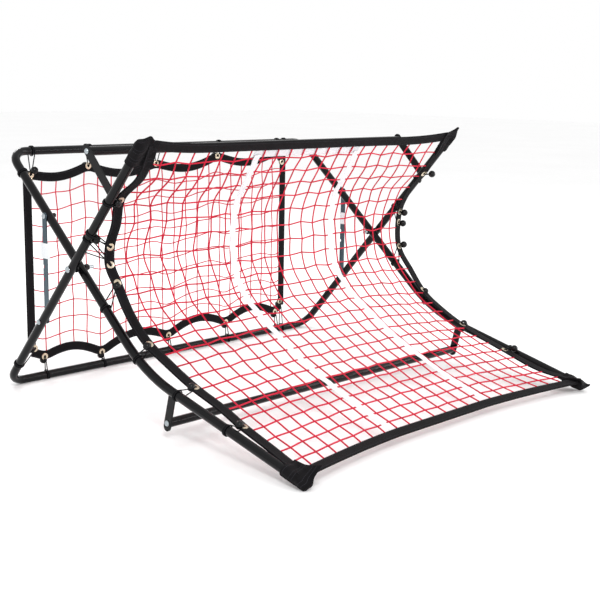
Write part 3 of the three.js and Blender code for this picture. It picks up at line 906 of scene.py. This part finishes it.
bands = join("target_bands", [
    strip("target_band", band_line(-1), lambda s: Vector((1, 0, 0)), 240, BAND_WIDTH,
          BAND_THICKNESS, target_tape),
    strip("target_band", band_line(1), lambda s: Vector((1, 0, 0)), 240, BAND_WIDTH,
          BAND_THICKNESS, target_tape),
    strip("target_band", across_line, down_the_net, 40, BAND_WIDTH, BAND_THICKNESS, target_tape),
])
print("band vertices", len(bands.data.vertices))

# %% [markdown]
# ## Eyelets
# A tie passes through the hem at a nickel-plated eyelet, a short barrel whose two rims are rolled
# flat over the webbing. One is modelled and copied to every place. It starts as an open cylinder;
# each rim is extruded outwards twice and pressed back, and the wall then gets its thickness.

# %% Model one eyelet
EYELET_HOLE = 3.4 * MM
EYELET_DEPTH = 5.4 * MM
EYELET_WALL = 0.7 * MM
# How much wider each turn of the rim is than the one before, and how far it is moved outwards.
RIM_TURNS = ((1.65, 0.3 * MM), (1.55, -0.7 * MM))
bpy.ops.mesh.primitive_cylinder_add(vertices=20, radius=EYELET_HOLE, depth=EYELET_DEPTH,
                                    end_fill_type="NOTHING")
eyelet = bpy.context.object
for end in (1, -1):
    for growth, rise in RIM_TURNS:
        reach = max(vertex.co.xy.length for vertex in eyelet.data.vertices
                    if end * vertex.co.z > 0)
        pick(eyelet, lambda v: end * v.co.z > 0 and v.co.xy.length > reach - 0.1 * MM)
        only(eyelet)
        bpy.ops.object.mode_set(mode="EDIT")
        bpy.ops.mesh.extrude_region_move(
            TRANSFORM_OT_translate={"value": (0, 0, end * rise)})
        bpy.ops.transform.resize(value=(growth, growth, 1))
        bpy.ops.object.mode_set(mode="OBJECT")
modify(eyelet, "SOLIDIFY", thickness=EYELET_WALL, offset=1)
soften(eyelet, 50)
eyelet.data.materials.append(nickel)
print("eyelet", [round(size / MM, 1) for size in eyelet.dimensions], "mm")

# %% Copy a finished pattern
def copied(pattern, name, place, facing_way):
    """A copy of a finished pattern, standing at a place with its axis turned that way."""
    turn = facing_way.to_track_quat("Z", "Y").to_matrix().to_4x4()
    copy = bpy.data.objects.new(name, pattern.data.copy())
    bpy.context.scene.collection.objects.link(copy)
    copy.data.transform(Matrix.Translation(place) @ turn)
    return copy


print("patterns to copy:", eyelet.name)

# %% Place the front eyelets
# They sit just inside the edge, and face as the net does a little further in.
front_ties = []
for side, points in HEM_POINTS.items():
    for point, down in zip(points, hem_stations[side]):
        if len(point) > 3:
            across = SIDES[side] * 0.999
            front_ties.append({"side": side, "rail": point[3], "distance": point[4] * MM,
                               "place": front_net(across, down),
                               "way": facing(front_net, across * 0.98, down)})
front_eyelets = join("front_net_eyelets", [
    copied(eyelet, "eyelet", tie["place"], tie["way"]) for tie in front_ties])
print("front eyelets", len(front_ties))

# %% Place the rear eyelets
# What each one's tie is wound on, and where the eyelet is, across and up, in mm.
BACKWARDS = Vector((0, 1, 0))
REAR_EYELETS = [
    ("bar", -436, 509), ("bar", -270, 524), ("bar", -55, 522), ("bar", 161, 534),
    ("bar", 385, 535), ("bar", 413, 508), ("ground_bar", -411, 55), ("ground_bar", -238, 39),
    ("ground_bar", -16, 50), ("ground_bar", 195, 56), ("ground_bar", 393, 60),
    ("ground_rail", -439, 80), ("ground_bar", 413, 90), ("rail", -440, 495),
]
rear_eyelets = join("rear_net_eyelets", [
    copied(eyelet, "eyelet", Vector((x * MM, REAR_PLANE, z * MM)), BACKWARDS)
    for _, x, z in REAR_EYELETS])
bpy.data.objects.remove(eyelet)
print("rear eyelets", len(REAR_EYELETS))

# %% [markdown]
# ## Elastic ties
# Each tie is a loop of braided elastic, just under 3 mm thick, with a moulded ball on it. The
# loop goes nearly twice round the rail, through the eyelet, and is held there by the ball. The
# ball starts as a UV sphere: its two poles are cut away and the rims bridged, which leaves the
# hole that the cord runs through.

# %% Model one ball
BALL_RADIUS = 9.2 * MM
# The poles are cut away beyond the first of these shares of the radius, and the rims left lie
# beyond the second.
POLE_CUT, HOLE_RIM = 0.95, 0.85
bpy.ops.mesh.primitive_uv_sphere_add(segments=24, ring_count=14, radius=BALL_RADIUS)
ball = bpy.context.object
pick(ball, lambda vertex: abs(vertex.co.z) > BALL_RADIUS * POLE_CUT)
in_edit_mode(ball, bpy.ops.mesh.delete, type="VERT")
pick(ball, lambda vertex: abs(vertex.co.z) > BALL_RADIUS * HOLE_RIM)
in_edit_mode(ball, bpy.ops.mesh.bridge_edge_loops)
modify(ball, "BEVEL", width=0.8 * MM, segments=2, limit_method="ANGLE", angle_limit=radians(40))
soften(ball, 50)
ball.data.materials.append(ball_plastic)
print("ball", [round(size / MM, 1) for size in ball.dimensions], "mm")

# %% The rails that the ties are wound on
UPRIGHT_RAIL_X = sum(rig.box("upright_rail_right")[i].x for i in (0, 1)) / 2
RAMP_RAIL_X = sum(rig.box("ramp_rail_right")[i].x for i in (0, 1)) / 2
up_the_upright = (PIVOT - UPRIGHT_BAR).normalized()
down_the_ramp = (PIVOT - RAMP_BAR).normalized()
# The ramp's rails bend upwards at a knee, this far from the crossing, and run on at this slope.
KNEE_PLACE = 301 * MM
KNEE_RADIUS = 380 * MM
NOSE_SLOPE = radians(13.75)
KNEE_TURN = np.arctan2(-down_the_ramp.z, -down_the_ramp.y) - NOSE_SLOPE
KNEE_REACH = KNEE_RADIUS * np.tan(KNEE_TURN / 2)


def rail_place(rail, distance, side):
    """A place on a rail's middle line, so far from the crossing, and its direction there."""
    if rail == UPRIGHT:
        place = PIVOT + up_the_upright * distance
        place.x = SIDES[side] * UPRIGHT_RAIL_X
        return place, up_the_upright
    above = Vector((0, down_the_ramp.z, -down_the_ramp.y))
    bent = within_one((distance - KNEE_PLACE + KNEE_REACH) / (2 * KNEE_REACH)) * KNEE_TURN
    straight = min(distance, KNEE_PLACE - KNEE_REACH)
    beyond = max(0, distance - KNEE_PLACE - KNEE_REACH)
    way = down_the_ramp * cos(bent) + above * sin(bent)
    place = (PIVOT + down_the_ramp * straight
             + (down_the_ramp * sin(bent) + above * (1 - cos(bent))) * KNEE_RADIUS
             + way * beyond)
    place.x = SIDES[side] * RAMP_RAIL_X
    return place, way


print("the knee turns by", round(KNEE_TURN / radians(1), 1), "degrees")

# %% How the ties next to the crossing bend
# Above the crossing the net stays with the upright frame, below it with the ramp. These ties reach
# a part of the net that is on its way from one to the other, and bend between rail and eyelet, by
# the same share as the net does there.
FRONT_BEND = (PIVOT + Vector((0, 0, 60 * MM)), PIVOT - Vector((0, 0, 84 * MM)))
# An eyelet's share of the bend isn't taken as nearer than this to 0 or 1, which have no bend.
LEAST_SHARE = 0.02


def net_share(point):
    """How far down the net's bend a point is, from 0 to 1."""
    bend = FRONT_BEND[1] - FRONT_BEND[0]
    return within_one((point - FRONT_BEND[0]).dot(bend) / bend.length_squared)


def bend_from_upright(rail_point, eyelet_point):
    """A blend that is the upright's at the rail, and the net's at the eyelet."""
    share = max(net_share(eyelet_point), LEAST_SHARE)
    return {"start": rail_point, "end": rail_point + (eyelet_point - rail_point) / share}


def bend_from_ramp(rail_point, eyelet_point):
    """A blend that is the ramp's at the rail, and the net's at the eyelet."""
    share = min(net_share(eyelet_point), 1 - LEAST_SHARE)
    return {"start": rail_point + (eyelet_point - rail_point) / (1 - share), "end": rail_point}


NEAR_CROSSING = {}
for side in SIDES:
    NEAR_CROSSING[f"upright_tie_{side}_3"] = bend_from_upright
    NEAR_CROSSING[f"ramp_tie_{side}_1"] = bend_from_ramp
print("ties that bend:", list(NEAR_CROSSING))

# %% Wind a tie
CORD_RADIUS = 1.4 * MM
TURN_STEPS = 20
TURN_PITCH = 3.1 * MM
# The winding starts and ends at these angles from the eyelet's side, a little off the rail.
WIND_START, WIND_END = radians(70), radians(360 + 290)
WIND_ROOM = 0.2 * MM
# The loop's two cords lie this far from its middle, and reach this far behind and before the hem.
CORD_SPLIT = 1.6 * MM
BEHIND_HEM, BEFORE_HEM = 3 * MM, 4 * MM
# A ball lies this far before the hem, and this far from the eyelet.
BALL_LIFT, BALL_ROOM = 7 * MM, 1 * MM
# Where a ball is held at the rail, the loop bends over the hem this far from the eyelet.
HEM_OVER, HEM_RISE = 14 * MM, 3.5 * MM


def tie(name, rail_point, rail_way, eyelet_point, eyelet_way, ball_place=None, at_rail=False):
    """An elastic loop wound on a rail, through an eyelet, with its ball."""
    out = eyelet_point - rail_point
    out = (out - rail_way * out.dot(rail_way)).normalized()
    other = rail_way.cross(out)
    reach = TUBE_RADIUS + CORD_RADIUS + WIND_ROOM
    turns = []
    for k in range(2 * TURN_STEPS + 1):
        angle = WIND_START + (WIND_END - WIND_START) * k / (2 * TURN_STEPS)
        slide = (k / TURN_STEPS - 1) * TURN_PITCH
        turn = rail_point + (out * cos(angle) + other * sin(angle)) * reach + rail_way * slide
        turns.append(Vector((turn.x, turn.y, max(turn.z, CORD_RADIUS))))
    back = (rail_point - eyelet_point).normalized()
    split = other * CORD_SPLIT
    behind = eyelet_point - eyelet_way * BEHIND_HEM
    front = eyelet_point + eyelet_way * BEFORE_HEM
    if ball_place is None:
        ball_place = eyelet_point + back * (BALL_RADIUS + BALL_ROOM) + eyelet_way * BALL_LIFT
    if at_rail:
        ball_way = (eyelet_point - ball_place).normalized()
        over = rail_point - eyelet_point
        over = (over - eyelet_way * over.dot(eyelet_way)).normalized()
        edge = eyelet_point + over * HEM_OVER + eyelet_way * HEM_RISE
        lines = [turns + [ball_place], [turns[0], ball_place],
                 [turns[0], edge + split * 2, front + split, behind + split],
                 [ball_place, edge, front, behind],
                 [turns[-1], edge - split * 2, front - split, behind - split]]
    else:
        ball_way = (front - ball_place).normalized()
        lines = [[ball_place, front + split, behind + split] + turns
                 + [behind - split, front - split, ball_place]]
    loop = cords(name, lines, CORD_RADIUS, elastic, sides=2)
    bead = copied(ball, name, ball_place, ball_way)
    return join(name, [loop, bead])


print("a winding turns by", round((WIND_END - WIND_START) / radians(1)), "degrees")

# %% Tie the front net to its rails
# Where a ball doesn't lie beside its eyelet, this is how far from the eyelet it is, in mm, and
# whether the loop holds it at the rail.
BALLS = {
    "upright_tie_left_2": ((-20, 22, 14), True), "upright_tie_left_3": ((-30, 62, 26), True),
    "upright_tie_right_1": ((18, -15, -2), False), "upright_tie_right_2": ((12, -8, -4), False),
    "upright_tie_right_3": ((12, -8, -4), False), "ramp_tie_right_1": ((12, -8, 5), False),
    "ramp_tie_right_4": ((20, -16, 4), False),
}
count = {}
for place in front_ties:
    rail_point, rail_way = rail_place(place["rail"], place["distance"], place["side"])
    family = ("upright_tie_" if place["rail"] == UPRIGHT else "ramp_tie_") + place["side"]
    count[family] = count.get(family, 0) + 1
    node_name = f"{family}_{count[family]}"
    offset, at_rail = BALLS.get(node_name, (None, False))
    ball_place = place["place"] + Vector(offset) * MM if offset else None
    piece = tie(node_name + "_shown", rail_point, rail_way, place["place"], place["way"],
                ball_place, at_rail)
    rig.slot(piece, "elastic_tie")
    if node_name in NEAR_CROSSING:
        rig.blend(piece, UPRIGHT, RAMP, **NEAR_CROSSING[node_name](rail_point, place["place"]))
    else:
        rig.ride(piece, place["rail"])
    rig.replaces(piece, node_name)
print("front ties", sum(count.values()))

# %% Tie the rear net to its bars
# These balls lie behind the hem, but for the first, which lies before it. From the eyelet, in mm.
REAR_BALLS = {0: (6, -9, 11), 1: (0, 12, 0), 2: (0, 12, 0), 3: (0, 12, 0), 4: (0, 12, 0)}
ACROSS = Vector((1, 0, 0))
# Two ties are wound on rails instead, this far along them from the rear bar.
UP_RAMP_RAIL, UP_UPRIGHT_RAIL = 70 * MM, 75 * MM
for i, (rail, x, z) in enumerate(REAR_EYELETS):
    eyelet_point = Vector((x * MM, REAR_PLANE, z * MM))
    side = "left" if x < 0 else "right"
    if rail == "bar":
        rail_point, rail_way, body = RAMP_BAR + Vector((x * MM, 0, 0)), ACROSS, RAMP
    elif rail == "ground_bar":
        rail_point, rail_way, body = UPRIGHT_BAR + Vector((x * MM, 0, 0)), ACROSS, UPRIGHT
    elif rail == "rail":
        rail_point, rail_way, body = RAMP_BAR + down_the_ramp * UP_RAMP_RAIL, down_the_ramp, RAMP
        rail_point.x = SIDES[side] * RAMP_RAIL_X
    else:
        rail_way, body = up_the_upright, UPRIGHT
        rail_point = UPRIGHT_BAR + up_the_upright * UP_UPRIGHT_RAIL
        rail_point.x = SIDES[side] * UPRIGHT_RAIL_X
    ball_place = eyelet_point + Vector(REAR_BALLS[i]) * MM if i in REAR_BALLS else None
    piece = tie(f"rear_tie_{i + 1}", rail_point, rail_way, eyelet_point, BACKWARDS, ball_place)
    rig.slot(piece, "elastic_tie")
    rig.ride(piece, body)
bpy.data.objects.remove(ball)
print("rear ties", len(REAR_EYELETS))

# %% [markdown]
# ## Corner pockets
# At each corner the two hems are sewn into a pocket of the same webbing, which is slipped over
# the open end of the rail and stretches the net. It is round where the rail is inside it, thin
# where it meets the hem, and its sewn end sticks out beyond the rail as a flat ear. It starts as a
# cube. Its open end is inset for the mouth, it is subdivided, and its vertices are then moved to
# the section that the pocket has at each place along the rail.

# %% Sew a pocket
POCKET_LENGTH, POCKET_RADIUS = 50 * MM, 13.5 * MM
SEWN_END, CLOTH = 12 * MM, 2.4 * MM
# The mouth's rim and depth, as shares of the cube's half side.
MOUTH = 0.12
# The pocket overlaps the hem by this much, and is thin this many radii beyond the rail's middle.
OVERLAP, THIN_AT = 12 * MM, 1.9
# It is pinched flat over this much more than its sewn end, to a quarter of its thickness.
PINCH_START, PINCH_ROOM, PINCH = 2 * MM, 6 * MM, 0.75
# The ear's width, as a share of the pocket's, and the height of the cloth's creases.
EAR_SPREAD, CREASE = 0.16, 1.3 * MM
# The lowest cloth stays this far above the floor.
FLOOR_ROOM = 0.5 * MM
# The cube's UV map is one across. On the pocket that is about this many metres.
POCKET_UV_SIZE = 0.25


def bell(distance, spread):
    """1 at a distance of 0, and next to nothing at twice the spread."""
    return 2.72 ** -((distance / spread) ** 2)


def crease(a, b):
    """The uneven height of the cloth: a along the pocket and b across it, from 0 to 1."""
    return CREASE * sin(a * 13 + b * 5) * sin(b * 9 - a * 4) * (1 - abs(2 * a - 1) ** 6)


def pocket(name, tip, way, hem_edge, ear_place, ear_length, flare, lift):
    """A pocket over a rail's end. hem_edge(s) is the hem's edge, a distance s behind the tip."""
    bpy.ops.mesh.primitive_cube_add(size=2)
    bag = bpy.context.object
    bag.name = name
    pick(bag, lambda face: face.normal.x < -0.5, "FACE")
    in_edit_mode(bag, bpy.ops.mesh.inset, thickness=MOUTH, depth=-MOUTH)
    pick(bag, lambda edge: True, "EDGE")
    in_edit_mode(bag, bpy.ops.mesh.subdivide, number_cuts=15)
    for vertex in bag.data.vertices:
        a, b, c = (vertex.co.x + 1) / 2, (vertex.co.y + 1) / 2, vertex.co.z
        ear = SEWN_END * (1 + 0.5 * b) + ear_length * bell(b - ear_place, EAR_SPREAD)
        s = POCKET_LENGTH - a * (POCKET_LENGTH + ear)
        axis = tip - way * s + Vector((0, 0, lift * max(0, -s)))
        side = hem_edge(max(s, 0)) + way * max(-s, 0) - axis
        side -= way * side.dot(way)
        width = side.length + POCKET_RADIUS + OVERLAP + flare * a ** 2
        side.normalize()
        away = width * b - POCKET_RADIUS
        round_part = max(0, POCKET_RADIUS ** 2 - min(0, away) ** 2) ** 0.5
        thin = eased(within_one(away / (THIN_AT * POCKET_RADIUS)))
        pinched = within_one((PINCH_START - s) / (SEWN_END + PINCH_ROOM))
        half = max(CLOTH, round_part * (1 - thin)) * (1 - PINCH * pinched)
        vertex.co = axis + side * away + way.cross(side) * (c * half + crease(a, b))
        vertex.co.z = max(vertex.co.z, FLOOR_ROOM)
    modify(bag, "SUBSURF", levels=1, render_levels=1)
    pick(bag, lambda face: True, "FACE")
    in_edit_mode(bag, bpy.ops.mesh.normals_make_consistent, inside=False)
    for loop in bag.data.uv_layers.active.data:
        loop.uv = loop.uv * POCKET_UV_SIZE
    soften(bag, 60)
    bag.data.materials.append(webbing)
    return bag


print("pockets are", round(POCKET_LENGTH / MM), "mm long on the rail")

# %% Sew the four pockets
# How far the upper pockets' rails end beyond the middle of the CAD pockets, and how far along the
# lower rails the ends are from the knee.
UPPER_END, LOWER_END = 22 * MM, 483.5 * MM
# Where the ear is, from the rail's outer side to the hem, how far it sticks out, how much wider
# the sewn end is than the mouth, and how steeply it turns up.
EARS = {
    "pocket_upper_left": (0.5, 12 * MM, 0.0, 0.0), "pocket_upper_right": (0.1, 13 * MM, 0.0, 0.0),
    "pocket_lower_left": (0.3, 6 * MM, 22 * MM, 0.0),
    "pocket_lower_right": (0.25, 9 * MM, 10 * MM, 0.5),
}
for side, sign in SIDES.items():
    upper_low, upper_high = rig.box(f"pocket_upper_{side}")
    upper_middle = (upper_low + upper_high) / 2
    upper_tip = PIVOT + up_the_upright * (
        (upper_middle - PIVOT).dot(up_the_upright) + UPPER_END)
    upper_tip.x = sign * UPRIGHT_RAIL_X
    lower_tip, lower_way = rail_place(RAMP, KNEE_PLACE + LOWER_END, side)
    for place, tip, way, body, down_at in (
        ("upper", upper_tip, up_the_upright, UPRIGHT, lambda s: s),
        ("lower", lower_tip, lower_way, RAMP, lambda s: 1 - s),
    ):
        name = f"pocket_{place}_{side}"
        piece = pocket(name + "_shown", tip, way, lambda s: front_net(sign, down_at(s)),
                       *EARS[name])
        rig.slot(piece, "webbing")
        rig.ride(piece, body)
        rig.replaces(piece, name)
        print(name, len(piece.data.vertices), "vertices")

# %% [markdown]
# ## Labels
# Each brace carries a plain white label, folded round it with its ends stuck together.

# %% Fold the labels round the braces
# Each label's width and height, its room round the brace, and its middle below the brace's top.
LABELS = {"left": (36 * MM, 35 * MM), "right": (21 * MM, 33 * MM)}
LABEL_ROOM, LABEL_DROP = 1.6 * MM, 88 * MM
# Beyond the brace's edges the two ends come together, to this share of the thickness.
BRACE_HALF, LABEL_SHUT = 9 * MM, 0.25
for side, (width, height) in LABELS.items():
    low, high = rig.box(f"brace_{side}")
    middle = (low + high) / 2
    bpy.ops.mesh.primitive_cube_add(size=1)
    label = bpy.context.object
    label.name = f"label_{side}"
    label.scale = (high.x - low.x + LABEL_ROOM, width, height)
    label.location = (middle.x, middle.y, high.z - LABEL_DROP)
    settle(label)
    pick(label, lambda face: abs(face.normal.x) > 0.5, "FACE")
    in_edit_mode(label, bpy.ops.mesh.subdivide, number_cuts=5)
    for vertex in label.data.vertices:
        beyond = max(0, abs(vertex.co.y - middle.y) - BRACE_HALF) / BRACE_HALF
        vertex.co.x = middle.x + (vertex.co.x - middle.x) * max(LABEL_SHUT, 1 - beyond)
    soften(label, 40)
    label.data.materials.append(label_paper)
    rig.slot(label, "black_plastic")
    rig.ride(label, "left_brace" if side == "left" else "right_brace")
    print(label.name, [round(size / MM, 1) for size in label.dimensions], "mm")

# %% [markdown]
# ## Bending with the frame
# When the frames fold, both nets bend. Above the crossing the front net stays with the upright
# frame, and below it with the ramp, and it turns smoothly in between. The rear net hangs from the
# ramp's rear bar and is held down by the upright frame's.

# %% Blend the nets across the fold
REAR_BEND = (Vector((0, REAR_PLANE, 92 * MM)), Vector((0, REAR_PLANE, 480 * MM)))


def bend_front(piece, slot_name, *nodes):
    """Bends a finished piece of the front net with the fold."""
    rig.blend(piece, UPRIGHT, RAMP, start=FRONT_BEND[0], end=FRONT_BEND[1])
    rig.slot(piece, slot_name)
    if nodes:
        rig.replaces(piece, *nodes)


def bend_rear(piece, slot_name, *nodes):
    """Bends a finished piece of the rear net with the fold."""
    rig.blend(piece, UPRIGHT, RAMP, start=REAR_BEND[0], end=REAR_BEND[1])
    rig.slot(piece, slot_name)
    if nodes:
        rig.replaces(piece, *nodes)


bend_front(front_netting, "red_net", "front_net_top", "front_net_middle", "front_net_bottom")
bend_front(front_hems, "webbing")
bend_front(bands, "red_net")
bend_front(front_eyelets, "zinc_steel")
bend_rear(rear_eyelets, "zinc_steel")
bend_rear(rear_netting, "red_net", "rear_net")
bend_rear(rear_hems, "webbing")
print("the front net bends over", round((FRONT_BEND[0] - FRONT_BEND[1]).length, 3), "m")

# %% [markdown]
# ## Floor and light
# A plain pale floor in a white room, with three soft lights and one long low one, whose reflection
# runs along the glossy tubes.

# %% The floor
bpy.ops.mesh.primitive_plane_add(size=40)
floor = bpy.context.object
floor.name = "floor"
floor.data.materials.append(
    grainy("painted_studio_floor", "#fafafa", "#fefefe", 0.05, 0.0, (0.8, 0.9), 0.1 * MM))
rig.stage(floor)
print("floor", [round(size) for size in floor.dimensions], "m")

# %% Lights and world
# Each light's place and size in metres, and its power in watts. All of them face the frames.
LIT_POINT = Vector((0, 0, 0.3))
LIGHTS = [
    ("key", (-2.2, -2.6, 3.2), (0.9, 0.9), 60.0), ("fill", (2.8, -1.8, 2.2), (1.2, 1.2), 12.0),
    ("strip", (1.9, -2.2, 0.85), (2.4, 0.14), 20.0), ("back", (0.5, 3.2, 2.6), (1.2, 1.2), 40.0),
]
for name, place, (width, height), power in LIGHTS:
    light_data = bpy.data.lights.new(name, "AREA")
    light_data.shape = "RECTANGLE"
    light_data.size, light_data.size_y = width, height
    light_data.energy = power
    light = bpy.data.objects.new(name, light_data)
    bpy.context.scene.collection.objects.link(light)
    light.location = place
    light.rotation_euler = (LIT_POINT - light.location).to_track_quat("-Z", "Y").to_euler()
    light.visible_camera = False
world = bpy.data.worlds.new("studio")
world.use_nodes = True
world.node_tree.nodes["Background"].inputs[0].default_value = linear("#ffffff")
world.node_tree.nodes["Background"].inputs[1].default_value = 1.0
bpy.context.scene.world = world
bpy.context.scene.view_settings.view_transform = "Standard"
print("lights", [light[0] for light in LIGHTS])

# %% [markdown]
# ## Sizes
# The finished piece has to stay the size of the measured frame, so both boxes are written down.

# %% Write the sizes and finish
with open("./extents.json", "w") as size_file:
    json.dump({"cad": [list(corner) for corner in cad_bounds],
               "visual": [list(corner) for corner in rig.bounds()]}, size_file)
print("size", [round(high - low, 3) for low, high in zip(*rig.bounds())], "m")
